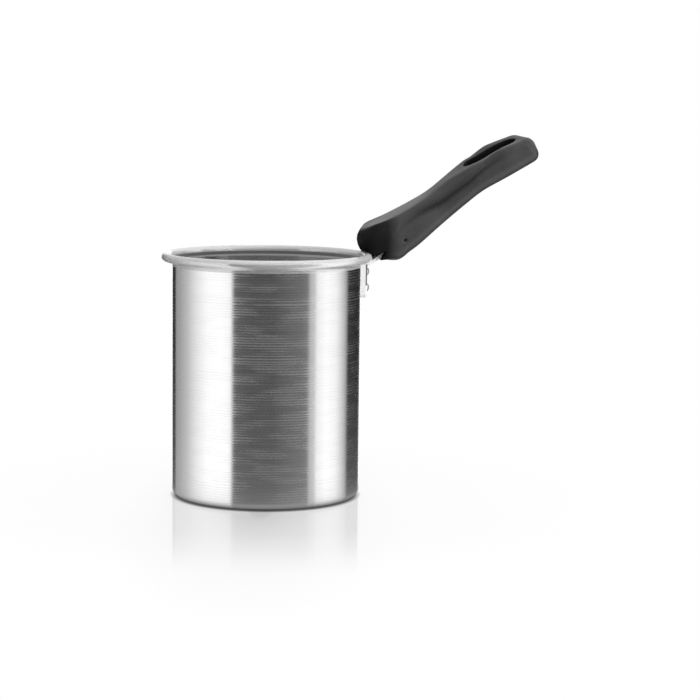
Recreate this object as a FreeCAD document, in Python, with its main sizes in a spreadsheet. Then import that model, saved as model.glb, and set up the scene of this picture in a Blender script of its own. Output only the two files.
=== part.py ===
import FreeCAD, Part
import os

import Sketcher
from FreeCAD import Placement, Rotation, Vector

# Single-handled wax-melting pot, in millimetres and degrees. The origin is the centre of the
# flat underside, +Z is up the pot's axis and +X points towards the handle.

doc = FreeCAD.newDocument("wax_pot")

# Driving dimensions
SIZES = {
    # spun pot
    "pot_radius": 50.0,
    "pot_height": 129.0,
    "wall": 1.0,
    "base_thickness": 1.5,
    "base_corner": 3.5,
    "bead_radius": 2.25,
    "bead_reach": 3.45,
    "bead_opening": 48.0,
    "neck_bend": 1.0,
    # pressed bracket
    "bracket_width": 15.0,
    "bracket_sheet": 1.0,
    "web_standoff": 3.3,
    "wall_seat": 0.02,
    "pad_drop": 24.0,
    "pad_corner": 2.5,
    "channel_bend": 1.2,
    "rim_clearance": 0.35,
    "neck_depth": 1.9,
    "tang_pitch": 33.0,
    "tang_length": 31.0,
    "tang_depth": 4.5,
    "tang_step": 12.5,
    # rivets
    "rivet_radius": 1.6,
    "rivet_clearance": 0.05,
    "rivet_head_radius": 2.8,
    "rivet_head_height": 2.6,
    "rivet_tail_radius": 3.0,
    "rivet_tail_height": 0.8,
    "rivet_drop": 10.4,
    "rivet_spacing": 8.6,
    # side of the handle, measured outwards and upwards from the top outside of the rim, with
    # the crest's hump and the knee's hollow over straight lines between their neighbours
    "heel_overhang": 5.6,
    "heel_drop": 4.5,
    "heel_under_pitch": 5.5,
    "heel_pitch": 27.2,
    "shoulder_out": 33.9,
    "shoulder_up": 32.2,
    "crest_out": 60.3,
    "crest_hump": 5.56,
    "tip_under_out": 94.0,
    "tip_under_up": 51.0,
    "tip_depth": 15.2,
    "tip_lean": 25.7,
    "knee_out": 60.7,
    "knee_hollow": 5.35,
    "underside_out": 15.6,
    "bend_rounding": 60.0,
    "heel_rounding": 8.0,
    "tip_rounding": 7.5,
    "tip_under_rounding": 5.0,
    # plan of the handle
    "heel_half_width": 14.0,
    "waist_out": 39.3,
    "waist_half_width": 10.2,
    "grip_out": 71.3,
    "grip_half_width": 14.2,
    "tip_half_width": 12.6,
    "side_rounding": 60.0,
    "edge_rounding": 6.5,
    # chin and mouth under the heel, and socket for the tang
    "chin_back": 0.2,
    "chin_lift": 0.5,
    "chin_lean": 31.0,
    "mouth_lift": 1.8,
    "mouth_reach": 6.8,
    "lip_reach": 3.0,
    "socket_clearance": 0.3,
    # hanging slot
    "slot_length": 31.0,
    "slot_width": 10.0,
    "slot_from_tip": 23.0,
    # cross pin
    "pin_radius": 0.9,
    "pin_clearance": 0.05,
    "pin_from_end": 7.0,
    "pin_rise": 2.0,
    "pin_recess": 0.4,
}

sheet = doc.addObject("Spreadsheet::Sheet", "sizes")
for row, (name, number) in enumerate(SIZES.items(), start=1):
    sheet.set(f"A{row}", name)
    sheet.set(f"B{row}", str(number))
    sheet.setAlias(f"B{row}", name)
notepad = doc.addObject("Spreadsheet::Sheet", "notepad")
doc.recompute()

# Places that several pieces share, as formulas of the sheet's sizes
WEB_X = "(sizes.pot_radius + sizes.web_standoff)"
INNER_RADIUS = "(sizes.pot_radius - sizes.wall)"
BEAD_X = "(sizes.pot_radius + sizes.bead_reach)"
BEAD_Z = "(sizes.pot_height - sizes.bead_radius)"
RIM_X = f"({BEAD_X} + sizes.bead_radius)"
COS = "cos(sizes.tang_pitch)"
SIN = "sin(sizes.tang_pitch)"
# the tang passes under the bead at the rim clearance, so its bend lies this far down
NECK_REACH = "(sizes.bead_radius + sizes.rim_clearance + sizes.neck_depth)"
BEND_Z = f"({BEAD_Z} - ({NECK_REACH} - (sizes.web_standoff - sizes.bead_reach) * {SIN}) / {COS})"
RIVET_Z = "(sizes.pot_height - sizes.rivet_drop)"
LOWER_RIVET_Z = f"({RIVET_Z} - sizes.rivet_spacing)"
LARGE = "(4 * (sizes.pot_radius + sizes.pot_height))"


def worked_out(formula):
    """The number that a formula of the sheet's sizes gives."""
    notepad.set("A1", "=" + formula)
    notepad.recompute()
    return float(notepad.get("A1"))


def along_tang(distance, rise):
    """A place on the tang, measured along its outer face from the bend and up from that face."""
    return (
        f"{WEB_X} + ({distance}) * {COS} - ({rise}) * {SIN}",
        f"{BEND_Z} + ({distance}) * {SIN} + ({rise}) * {COS}",
    )


def from_rim(out, up):
    """A place measured outwards from the outside of the rim and upwards from its top."""
    return (f"{RIM_X} + ({out})", f"sizes.pot_height + ({up})")


def origin_feature(body, role):
    return next(feature for feature in body.Origin.OriginFeatures if feature.Role == role)


def new_body(label):
    body = doc.addObject("PartDesign::Body", label)
    body.Label = label
    return body


def new_sketch(body, name, role):
    sketch = body.newObject("Sketcher::SketchObject", name)
    sketch.AttachmentSupport = [(origin_feature(body, role), "")]
    sketch.MapMode = "FlatFace"
    return sketch


def constrain(sketch, kind, places, formula):
    """A dimension of the sketch, bound to a formula of the sheet's sizes."""
    index = sketch.addConstraint(Sketcher.Constraint(kind, *places, worked_out(formula)))
    sketch.setExpression(f"Constraints[{index}]", formula)


def hold(sketch, geometry, end, place):
    """Holds one point of the sketch at a place across and up from the origin."""
    constrain(sketch, "DistanceX", (-1, 1, geometry, end), place[0])
    constrain(sketch, "DistanceY", (-1, 1, geometry, end), place[1])


def spot(place):
    return Vector(worked_out(place[0]), worked_out(place[1]), 0)


def draw_outline(sketch, corners):
    """A closed outline of straight lines through the corners."""
    first = sketch.GeometryCount
    count = len(corners)
    for i, corner in enumerate(corners):
        line = Part.LineSegment(spot(corner), spot(corners[(i + 1) % count]))
        sketch.addGeometry(line, False)
    for i, corner in enumerate(corners):
        following = first + (i + 1) % count
        sketch.addConstraint(Sketcher.Constraint("Coincident", first + i, 2, following, 1))
        hold(sketch, first + i, 1, corner)


def draw_circle(sketch, centre, radius):
    circle = Part.Circle(spot(centre), Vector(0, 0, 1), worked_out(radius))
    index = sketch.addGeometry(circle, False)
    hold(sketch, index, 3, centre)
    constrain(sketch, "Radius", (index,), radius)


def draw_arc(sketch, centre, radius, start, end, held=("X", "Y")):
    """An anticlockwise arc about a centre, between two places that lie on its circle."""
    circle = Part.Circle(spot(centre), Vector(0, 0, 1), worked_out(radius))
    arc = Part.ArcOfCircle(circle, circle.parameter(spot(start)), circle.parameter(spot(end)))
    index = sketch.addGeometry(arc, False)
    for axis, formula in zip("XY", centre):
        if axis in held:
            constrain(sketch, f"Distance{axis}", (-1, 1, index, 3), formula)
    constrain(sketch, "Radius", (index,), radius)
    return index


def draw_line(sketch, start, end):
    return sketch.addGeometry(Part.LineSegment(spot(start), spot(end)), False)


def join(sketch, first, first_end, second, second_end):
    sketch.addConstraint(Sketcher.Constraint("Coincident", first, first_end, second, second_end))


def revolve(body, name, sketch, role):
    turn = body.newObject("PartDesign::Revolution", name)
    turn.Profile = sketch
    turn.ReferenceAxis = (origin_feature(body, role), [""])
    turn.Angle = 360
    return turn


def symmetric_pad(body, name, sketch, width):
    pad = body.newObject("PartDesign::Pad", name)
    pad.Profile = sketch
    pad.SideType = "Symmetric"
    pad.setExpression("Length", width)
    return pad


def symmetric_pocket(body, name, sketch, width):
    pocket = body.newObject("PartDesign::Pocket", name)
    pocket.Profile = sketch
    pocket.SideType = "Symmetric"
    pocket.setExpression("Length", width)
    return pocket


def round_edges(body, name, radius, wanted):
    """Rounds those edges of the body so far that the test picks."""
    doc.recompute()
    base = body.Tip
    numbered = enumerate(base.Shape.Edges, start=1)
    edges = [f"Edge{i}" for i, edge in numbered if not edge.Degenerated and wanted(edge)]
    fillet = body.newObject("PartDesign::Fillet", name)
    fillet.Base = (base, edges)
    fillet.setExpression("Radius", radius)
    doc.recompute()
    return fillet


def ring_at(radius, height):
    """A test for the circle about the pot's axis with this radius and height."""
    where = spot((radius, height))

    def wanted(edge):
        if not isinstance(edge.Curve, Part.Circle):
            return False
        middle = edge.Curve.Center
        off = abs(middle.x) + abs(middle.y) + abs(middle.z - where.y)
        return off < 0.01 and abs(edge.Curve.Radius - where.x) < 0.01

    return wanted


def straight_at(place, drop):
    """A test for straight edges along the named axis, at a place given by the other two."""
    where = spot(place)
    keep = [axis for axis in "xyz" if axis != drop]

    def wanted(edge):
        if not isinstance(edge.Curve, Part.Line) or abs(getattr(edge.Curve.Direction, drop)) < 0.999:
            return False
        middle = edge.CenterOfMass
        across, up = (getattr(middle, axis) for axis in keep)
        return abs(across - where.x) < 0.01 and abs(abs(up) - where.y) < 0.01

    return wanted


# Pot body: a turned shell with a flat base, and a rim that leans out and curls into a bead
pot = new_body("pot_body")
BEAD_INSIDE = f"({BEAD_X} - sizes.bead_radius)"
BEAD_SHEET = f"({BEAD_INSIDE} + sizes.wall)"
HALF_BEND = "tan(22.5)"
MITRE = f"(sizes.wall * {HALF_BEND})"
NECK_BACK_BEND = "(sizes.neck_bend + sizes.wall)"
NECK_TOP = f"({BEAD_Z} - {NECK_BACK_BEND} * {HALF_BEND} + {MITRE} - 0.1)"
NECK_FOOT = f"({NECK_TOP} - ({BEAD_INSIDE} - {INNER_RADIUS}))"

shell = new_sketch(pot, "pot_section", "XZ_Plane")
draw_outline(shell, [
    ("0", "0"),
    ("sizes.pot_radius", "0"),
    ("sizes.pot_radius", f"{NECK_FOOT} - {MITRE}"),
    (BEAD_SHEET, f"{NECK_TOP} - {MITRE}"),
    (BEAD_SHEET, BEAD_Z),
    (BEAD_INSIDE, BEAD_Z),
    (BEAD_INSIDE, NECK_TOP),
    (INNER_RADIUS, NECK_FOOT),
    (INNER_RADIUS, "sizes.base_thickness"),
    ("0", "sizes.base_thickness"),
])
revolve(pot, "turned_shell", shell, "Z_Axis")

BENDS = [
    ("base_outside", "sizes.base_corner", "sizes.pot_radius", "0"),
    ("base_inside", "sizes.base_corner - sizes.wall", INNER_RADIUS, "sizes.base_thickness"),
    ("neck_foot_outside", "sizes.neck_bend", "sizes.pot_radius", f"{NECK_FOOT} - {MITRE}"),
    ("neck_foot_inside", NECK_BACK_BEND, INNER_RADIUS, NECK_FOOT),
    ("neck_top_inside", "sizes.neck_bend", BEAD_INSIDE, NECK_TOP),
    ("neck_top_outside", NECK_BACK_BEND, BEAD_SHEET, f"{NECK_TOP} - {MITRE}"),
]
for name, radius, ring, height in BENDS:
    round_edges(pot, name, radius, ring_at(ring, height))


def on_bead(radius, degrees):
    return (f"{BEAD_X} + {radius} * cos({degrees})", f"{BEAD_Z} + {radius} * sin({degrees})")


# the curl stops short of the neck that it comes back to
curl = new_sketch(pot, "rim_curl_section", "XZ_Plane")
CURL_INSIDE = "(sizes.bead_radius - sizes.wall)"
CURL_END = "(180 + sizes.bead_opening)"
outer = draw_arc(
    curl,
    (BEAD_X, BEAD_Z),
    "sizes.bead_radius",
    on_bead("sizes.bead_radius", CURL_END),
    on_bead("sizes.bead_radius", "180"),
)
inner = draw_arc(
    curl,
    (BEAD_X, BEAD_Z),
    CURL_INSIDE,
    on_bead(CURL_INSIDE, CURL_END),
    on_bead(CURL_INSIDE, "180"),
)
seam = draw_line(curl, on_bead(CURL_INSIDE, "180"), on_bead("sizes.bead_radius", "180"))
lip = draw_line(curl, on_bead(CURL_INSIDE, CURL_END), on_bead("sizes.bead_radius", CURL_END))
join(curl, inner, 2, seam, 1)
join(curl, outer, 2, seam, 2)
join(curl, inner, 1, lip, 1)
join(curl, outer, 1, lip, 2)
constrain(curl, "DistanceY", (-1, 1, outer, 2), BEAD_Z)
constrain(curl, "DistanceY", (-1, 1, inner, 2), BEAD_Z)
constrain(curl, "DistanceX", (-1, 1, outer, 1), on_bead("sizes.bead_radius", CURL_END)[0])
constrain(curl, "DistanceX", (-1, 1, inner, 1), on_bead(CURL_INSIDE, CURL_END)[0])
revolve(pot, "rim_curl", curl, "Z_Axis")

# two rivet holes through the wall on the handle's side
pot_holes = new_sketch(pot, "rivet_hole_places", "YZ_Plane")
for height in (RIVET_Z, LOWER_RIVET_Z):
    draw_circle(pot_holes, ("0", height), "sizes.rivet_radius + sizes.rivet_clearance")
doc.recompute()
undrilled = pot.Shape.Volume
drilling = pot.newObject("PartDesign::Pocket", "rivet_holes")
drilling.Profile = pot_holes
drilling.Reversed = True
drilling.setExpression("Length", "sizes.pot_radius + sizes.wall")
doc.recompute()
print("metal drilled from the pot, mm3:", round(undrilled - pot.Shape.Volume, 2))

# Handle bracket: a pressed channel that opens towards the pot, with a tang for the handle
bracket = new_body("handle_bracket")
PAD_FOOT = "(sizes.pot_height - sizes.pad_drop)"
FLANGE_TOP = f"({NECK_FOOT} - {MITRE} - sizes.neck_bend * {HALF_BEND} - sizes.rim_clearance)"
IN_WALL = "(sizes.pot_radius / 2)"

bracket_side = new_sketch(bracket, "bracket_side", "XZ_Plane")
draw_outline(bracket_side, [
    (IN_WALL, PAD_FOOT),
    (WEB_X, PAD_FOOT),
    (WEB_X, BEND_Z),
    along_tang("sizes.tang_length", "0"),
    along_tang("sizes.tang_length", "sizes.tang_depth"),
    along_tang("sizes.tang_step + sizes.tang_depth", "sizes.tang_depth"),
    along_tang("sizes.tang_step", "sizes.neck_depth"),
    along_tang("0", "sizes.neck_depth"),
    (IN_WALL, FLANGE_TOP),
])
symmetric_pad(bracket, "bracket_block", bracket_side, "sizes.bracket_width")

# the flanges are cut to the round of the wall
wall_round = new_sketch(bracket, "wall_round", "XY_Plane")
draw_circle(wall_round, ("0", "0"), "sizes.pot_radius + sizes.wall_seat")
symmetric_pocket(bracket, "wall_seat_cut", wall_round, LARGE)


def foot_corner(edge):
    """The two corners of the pad's foot."""
    middle = edge.CenterOfMass
    low = abs(middle.z - worked_out(PAD_FOOT)) < 0.01
    outside = abs(abs(middle.y) - worked_out("sizes.bracket_width / 2")) < 0.01
    return low and outside


def web_edge(edge):
    """The edges all round the outer face of the web, up to the end of the tang."""
    across = edge.CenterOfMass.x
    up = edge.CenterOfMass.z
    pad = abs(across - worked_out(WEB_X)) < 0.01
    above_web = (up - worked_out(BEND_Z)) * worked_out(COS) - (across - worked_out(WEB_X)) * worked_out(SIN)
    side = abs(edge.CenterOfMass.y) > worked_out("sizes.bracket_width / 4")
    return (pad and up < worked_out(BEND_Z)) or (abs(above_web) < 0.01 and side)


round_edges(bracket, "pad_corners", "sizes.pad_corner", foot_corner)
round_edges(bracket, "web_bends", "sizes.channel_bend", web_edge)

# the hollow of the channel leaves one thickness of sheet all round
BEND_SHIFT = f"(sizes.bracket_sheet * ({SIN} - 1) / {COS})"
hollow = new_sketch(bracket, "channel_hollow_side", "XZ_Plane")
draw_outline(hollow, [
    (IN_WALL, f"{PAD_FOOT} + sizes.bracket_sheet"),
    (f"{WEB_X} - sizes.bracket_sheet", f"{PAD_FOOT} + sizes.bracket_sheet"),
    along_tang(BEND_SHIFT, "sizes.bracket_sheet"),
    along_tang("2 * sizes.tang_length", "sizes.bracket_sheet"),
    along_tang("2 * sizes.tang_length", "3 * sizes.tang_depth"),
    (IN_WALL, "2 * sizes.pot_height"),
])
symmetric_pocket(bracket, "channel_hollow", hollow, "sizes.bracket_width - 2 * sizes.bracket_sheet")

bracket_holes = new_sketch(bracket, "rivet_places", "YZ_Plane")
for height in (RIVET_Z, LOWER_RIVET_Z):
    draw_circle(bracket_holes, ("0", height), "sizes.rivet_radius + sizes.rivet_clearance")
symmetric_pocket(bracket, "rivet_holes_in_web", bracket_holes, LARGE)

tang_hole = new_sketch(bracket, "tang_hole_place", "XZ_Plane")
PIN_PLACE = along_tang("sizes.tang_length - sizes.pin_from_end", "sizes.pin_rise")
draw_circle(tang_hole, PIN_PLACE, "sizes.pin_radius + sizes.pin_clearance")
symmetric_pocket(bracket, "tang_hole", tang_hole, LARGE)


# Rivets: turned solid shanks with a domed head outside and a flat head inside the pot
def make_rivet(label, height):
    rivet = new_body(label)
    dome = (
        "((sizes.rivet_head_radius ^ 2 + sizes.rivet_head_height ^ 2)"
        " / (2 * sizes.rivet_head_height))"
    )
    tail = f"(sqrt({INNER_RADIUS} ^ 2 - sizes.rivet_tail_radius ^ 2) - sizes.wall_seat)"
    crown = f"({WEB_X} + sizes.wall_seat + sizes.rivet_head_height)"
    seat = f"({WEB_X} + sizes.wall_seat)"
    section = new_sketch(rivet, f"{label}_section", "XZ_Plane")
    corners = [
        (crown, "0"),
        (f"{tail} - sizes.rivet_tail_height", "0"),
        (f"{tail} - sizes.rivet_tail_height", "sizes.rivet_tail_radius - sizes.rivet_tail_height / 2"),
        (tail, "sizes.rivet_tail_radius"),
        (tail, "sizes.rivet_radius"),
        (seat, "sizes.rivet_radius"),
        (seat, "sizes.rivet_head_radius"),
    ]
    lines = [draw_line(section, a, b) for a, b in zip(corners, corners[1:])]
    arc = draw_arc(section, (f"{crown} - {dome}", "0"), dome, corners[0], corners[-1], ("Y",))
    for first, second in zip(lines, lines[1:]):
        join(section, first, 2, second, 1)
    for line, corner in zip(lines, corners):
        hold(section, line, 1, corner)
    join(section, lines[-1], 2, arc, 2)
    join(section, arc, 1, lines[0], 1)
    constrain(section, "DistanceX", (-1, 1, lines[-1], 2), seat)
    revolve(rivet, f"{label}_turned", section, "X_Axis")
    rivet.setExpression("Placement.Base.z", height)
    return rivet


upper_rivet = make_rivet("rivet_upper", RIVET_Z)
lower_rivet = make_rivet("rivet_lower", LOWER_RIVET_Z)

# Handle: moulded side profile, trimmed to its plan, rounded, then opened for tang and slot
grip = new_body("handle_grip")
HEEL_BACK = "(2 * sizes.heel_overhang)"
HEEL_BACK_UP = f"(sizes.shoulder_up - (sizes.shoulder_out + {HEEL_BACK}) * tan(sizes.heel_pitch))"
HEEL_UNDER_RISE = f"((sizes.underside_out + {HEEL_BACK}) * tan(sizes.heel_under_pitch))"
TIP_TOP_OUT = "(sizes.tip_under_out - sizes.tip_depth * sin(sizes.tip_lean))"
TIP_TOP_UP = "(sizes.tip_under_up + sizes.tip_depth * cos(sizes.tip_lean))"


def on_chord(out, start, end):
    """How high the straight line from start to end passes, at a place outwards from the rim."""
    share = f"(({out} - {start[0]}) / ({end[0]} - {start[0]}))"
    return f"({start[1]} + {share} * ({end[1]} - {start[1]}))"


TOP_CHORD = on_chord(
    "sizes.crest_out",
    ("sizes.shoulder_out", "sizes.shoulder_up"),
    (TIP_TOP_OUT, TIP_TOP_UP),
)
UNDER_CHORD = on_chord(
    "sizes.knee_out",
    ("sizes.underside_out", "-sizes.heel_drop"),
    ("sizes.tip_under_out", "sizes.tip_under_up"),
)
CREST_UP = f"({TOP_CHORD} + sizes.crest_hump)"
KNEE_UP = f"({UNDER_CHORD} + sizes.knee_hollow)"
PROFILE = {
    "heel_under": from_rim(f"-{HEEL_BACK}", f"{HEEL_UNDER_RISE} - sizes.heel_drop"),
    "underside": from_rim("sizes.underside_out", "-sizes.heel_drop"),
    "knee": from_rim("sizes.knee_out", KNEE_UP),
    "tip_under": from_rim("sizes.tip_under_out", "sizes.tip_under_up"),
    "tip_top": from_rim(TIP_TOP_OUT, TIP_TOP_UP),
    "crest": from_rim("sizes.crest_out", CREST_UP),
    "shoulder": from_rim("sizes.shoulder_out", "sizes.shoulder_up"),
    "heel_top": from_rim(f"-{HEEL_BACK}", HEEL_BACK_UP),
}
grip_side = new_sketch(grip, "grip_side", "XZ_Plane")
draw_outline(grip_side, list(PROFILE.values()))
symmetric_pad(grip, "grip_block", grip_side, "3 * sizes.grip_half_width")
PROFILE_BENDS = [
    ("underside", "sizes.heel_rounding"),
    ("knee", "sizes.bend_rounding"),
    ("tip_under", "sizes.tip_under_rounding"),
    ("tip_top", "sizes.tip_rounding"),
    ("crest", "sizes.bend_rounding"),
    ("shoulder", "sizes.bend_rounding"),
]
for name, radius in PROFILE_BENDS:
    round_edges(grip, f"{name}_bend", radius, straight_at(PROFILE[name], "y"))

# plan: a half-round heel, a waist, the broad grip and the tip
plan = new_body("grip_plan_block")
grip_plan = new_sketch(plan, "grip_plan", "XY_Plane")
HEEL_CENTRE = f"({RIM_X} - sizes.heel_overhang + sizes.heel_half_width)"
HEEL_TO_WAIST = "(sizes.waist_out + sizes.heel_overhang - sizes.heel_half_width)"
TANGENT_TURN = (
    f"(atan(sizes.waist_half_width / {HEEL_TO_WAIST})"
    f" + acos(sizes.heel_half_width / sqrt({HEEL_TO_WAIST} ^ 2 + sizes.waist_half_width ^ 2)))"
)
BEYOND_TIP = f"({RIM_X} + sizes.tip_under_out + sizes.grip_half_width)"


def plan_side(sign):
    """The corners of one side of the plan, from the heel's tangent point to past the tip."""
    return [
        (
            f"{HEEL_CENTRE} + sizes.heel_half_width * cos({TANGENT_TURN})",
            f"{sign} * sizes.heel_half_width * sin({TANGENT_TURN})",
        ),
        (f"{RIM_X} + sizes.waist_out", f"{sign} * sizes.waist_half_width"),
        (f"{RIM_X} + sizes.grip_out", f"{sign} * sizes.grip_half_width"),
        (BEYOND_TIP, f"{sign} * sizes.tip_half_width"),
    ]


left = plan_side("1")
right = plan_side("-1")
corners = left + right[::-1]
lines = [draw_line(grip_plan, a, b) for a, b in zip(corners, corners[1:])]
heel = draw_arc(grip_plan, (HEEL_CENTRE, "0"), "sizes.heel_half_width", left[0], right[0])
for first, second in zip(lines, lines[1:]):
    join(grip_plan, first, 2, second, 1)
for line, corner in zip(lines[1:], corners[1:]):
    hold(grip_plan, line, 1, corner)
join(grip_plan, heel, 1, lines[0], 1)
join(grip_plan, heel, 2, lines[-1], 2)
constrain(grip_plan, "DistanceX", (-1, 1, heel, 1), left[0][0])
constrain(grip_plan, "DistanceX", (-1, 1, heel, 2), right[0][0])
symmetric_pad(plan, "plan_block", grip_plan, LARGE)
for name, corner in (("waist", left[1]), ("grip", left[2])):
    round_edges(plan, f"{name}_sides", "sizes.side_rounding", straight_at(corner, "z"))
plan_trim = grip.newObject("PartDesign::Boolean", "plan_trim")
plan_trim.setObjects([plan])
plan_trim.Type = "Common"


def outer_edge(edge):
    """The edges where the top, tip or underside of the handle meets its upright sides."""
    faces = [f for f in grip.Tip.Shape.Faces if any(edge.isSame(e) for e in f.Edges)]
    leans = []
    for face in faces:
        u_low, u_high, v_low, v_high = face.ParameterRange
        leans.append(abs(face.normalAt((u_low + u_high) / 2, (v_low + v_high) / 2).z))
    return min(leans) < 0.001 and max(leans) > 0.1


round_edges(grip, "outer_rounding", "sizes.edge_rounding", outer_edge)

# the chin slopes back under the heel, and the mouth clears the rim and lets the tang in
mouth = new_sketch(grip, "mouth_side", "XZ_Plane")
draw_outline(mouth, [
    from_rim(
        "-sizes.chin_back - sizes.pot_radius * sin(sizes.chin_lean)",
        "sizes.chin_lift + sizes.pot_radius * cos(sizes.chin_lean)",
    ),
    from_rim("-sizes.chin_back", "sizes.chin_lift"),
    from_rim("sizes.mouth_reach", "sizes.mouth_lift"),
    from_rim(
        "2 * sizes.lip_reach - sizes.mouth_reach",
        "-2 * sizes.heel_drop - sizes.mouth_lift",
    ),
    from_rim("-sizes.pot_radius", "-2 * sizes.heel_drop - sizes.mouth_lift"),
])
symmetric_pocket(grip, "mouth", mouth, LARGE)

socket = new_sketch(grip, "socket_side", "XZ_Plane")
SOCKET_END = "sizes.tang_length + sizes.socket_clearance"
draw_outline(socket, [
    along_tang("-sizes.tang_depth", "-sizes.socket_clearance"),
    along_tang(SOCKET_END, "-sizes.socket_clearance"),
    along_tang(SOCKET_END, "sizes.tang_depth + sizes.socket_clearance"),
    along_tang("-sizes.tang_depth", "sizes.tang_depth + sizes.socket_clearance"),
])
symmetric_pocket(grip, "socket", socket, "sizes.bracket_width + 2 * sizes.socket_clearance")

# the hanging slot runs square to the underside of the tip
slot = new_sketch(grip, "slot_plan", "XY_Plane")
TIP_RUN = "(sizes.tip_under_out - sizes.knee_out)"
TIP_RISE = f"(sizes.tip_under_up - {KNEE_UP})"
TIP_PITCH = f"atan({TIP_RISE} / {TIP_RUN})"
slot.AttachmentOffset = Placement(Vector(), Rotation(Vector(0, -1, 0), worked_out(TIP_PITCH)))
slot.setExpression("AttachmentOffset.Rotation.Angle", TIP_PITCH)
slot.setExpression("AttachmentOffset.Base.x", PROFILE["tip_under"][0])
slot.setExpression("AttachmentOffset.Base.z", PROFILE["tip_under"][1])
SLOT_RADIUS = "(sizes.slot_width / 2)"
NEAR_CENTRE = f"(-sizes.slot_from_tip - sizes.slot_length / 2 + {SLOT_RADIUS})"
FAR_CENTRE = f"(-sizes.slot_from_tip + sizes.slot_length / 2 - {SLOT_RADIUS})"
near = draw_arc(
    slot,
    (NEAR_CENTRE, "0"),
    SLOT_RADIUS,
    (NEAR_CENTRE, SLOT_RADIUS),
    (NEAR_CENTRE, f"-{SLOT_RADIUS}"),
)
far = draw_arc(
    slot,
    (FAR_CENTRE, "0"),
    SLOT_RADIUS,
    (FAR_CENTRE, f"-{SLOT_RADIUS}"),
    (FAR_CENTRE, SLOT_RADIUS),
)
lower_side = draw_line(slot, (NEAR_CENTRE, f"-{SLOT_RADIUS}"), (FAR_CENTRE, f"-{SLOT_RADIUS}"))
upper_side = draw_line(slot, (FAR_CENTRE, SLOT_RADIUS), (NEAR_CENTRE, SLOT_RADIUS))
for arc, end, line, line_end in (
    (near, 2, lower_side, 1),
    (far, 1, lower_side, 2),
    (far, 2, upper_side, 1),
    (near, 1, upper_side, 2),
):
    slot.addConstraint(Sketcher.Constraint("Tangent", arc, end, line, line_end))
symmetric_pocket(grip, "hanging_slot", slot, LARGE)

pin_hole = new_sketch(grip, "pin_hole_place", "XZ_Plane")
draw_circle(pin_hole, PIN_PLACE, "sizes.pin_radius + sizes.pin_clearance")
symmetric_pocket(grip, "pin_hole", pin_hole, LARGE)

# Cross pin through the handle and the tang's two flanges
pin = new_body("handle_pin")
PIN_SHARE = f"(({PIN_PLACE[0]} - {HEEL_CENTRE}) / {HEEL_TO_WAIST})"
HALF_AT_PIN = (
    "(sizes.heel_half_width"
    f" - {PIN_SHARE} * (sizes.heel_half_width - sizes.waist_half_width))"
)
pin_section = new_sketch(pin, "pin_section", "XZ_Plane")
draw_circle(pin_section, PIN_PLACE, "sizes.pin_radius")
symmetric_pad(pin, "pin_rod", pin_section, f"2 * ({HALF_AT_PIN} - sizes.pin_recess)")

# Check every object, then write each piece
doc.recompute()
PIECES = [pot, bracket, upper_rivet, lower_rivet, grip, pin]
for thing in doc.Objects:
    if "Invalid" in thing.State or "Error" in thing.State:
        raise RuntimeError(f"{thing.Label} failed: {thing.State}")
for piece in PIECES:
    if piece.Shape.isNull() or not piece.Shape.isValid() or len(piece.Shape.Solids) != 1:
        raise RuntimeError(f"{piece.Label} isn't one valid solid")

os.makedirs("parts", exist_ok=True)
for piece in PIECES:
    piece.Shape.exportStep(f"parts/{piece.Label}.step")
    box = piece.Shape.optimalBoundingBox()
    print(piece.Label, "volume", round(piece.Shape.Volume, 1), "box", box)
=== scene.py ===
import math

import bmesh
import bpy
from mathutils import Matrix, Vector


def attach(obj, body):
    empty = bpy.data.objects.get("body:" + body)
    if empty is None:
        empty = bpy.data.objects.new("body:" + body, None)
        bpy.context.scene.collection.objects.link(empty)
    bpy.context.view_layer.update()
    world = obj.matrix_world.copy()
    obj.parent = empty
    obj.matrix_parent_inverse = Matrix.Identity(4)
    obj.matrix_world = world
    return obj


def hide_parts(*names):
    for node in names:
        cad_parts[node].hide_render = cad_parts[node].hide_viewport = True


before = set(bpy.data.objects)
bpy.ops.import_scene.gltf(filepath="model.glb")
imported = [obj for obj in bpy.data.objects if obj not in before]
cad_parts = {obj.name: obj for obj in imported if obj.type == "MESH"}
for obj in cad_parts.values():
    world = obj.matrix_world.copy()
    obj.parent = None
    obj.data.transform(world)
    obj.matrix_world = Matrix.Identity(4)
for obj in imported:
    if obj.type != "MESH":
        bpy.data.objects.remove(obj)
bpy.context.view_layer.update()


# Camera
# The pot is seen from a little above its rim, with the handle turned away to the right.
HANDLE_TURN = math.radians(14)
from_photo = Matrix.Rotation(-HANDLE_TURN, 3, "Z")

VIEW_TILT = 0.124
VIEW_ROLL = 0.011
SENSOR_WIDTH = 36
PICTURE_WIDTH = 700
FOCAL_LENGTH = 2118
SIDE_SHIFT = -0.0010
eye = from_photo @ Vector((0.0449, -1.119, 0.217))
level_right = from_photo @ Vector((1, 0, 0))
level_up = from_photo @ Vector((0, math.sin(VIEW_TILT), math.cos(VIEW_TILT)))
right = level_right * math.cos(VIEW_ROLL) + level_up * math.sin(VIEW_ROLL)
up = level_up * math.cos(VIEW_ROLL) - level_right * math.sin(VIEW_ROLL)
turn = Matrix((right, up, right.cross(up))).transposed()

camera_data = bpy.data.cameras.new("camera")
camera_data.sensor_width = SENSOR_WIDTH
camera_data.lens = SENSOR_WIDTH * FOCAL_LENGTH / PICTURE_WIDTH
camera_data.shift_x = SIDE_SHIFT
camera = bpy.data.objects.new("camera", camera_data)
camera.matrix_world = Matrix.Translation(eye) @ turn.to_4x4()
bpy.context.collection.objects.link(camera)
bpy.context.scene.camera = camera
bpy.context.scene.view_settings.view_transform = "Standard"


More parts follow.
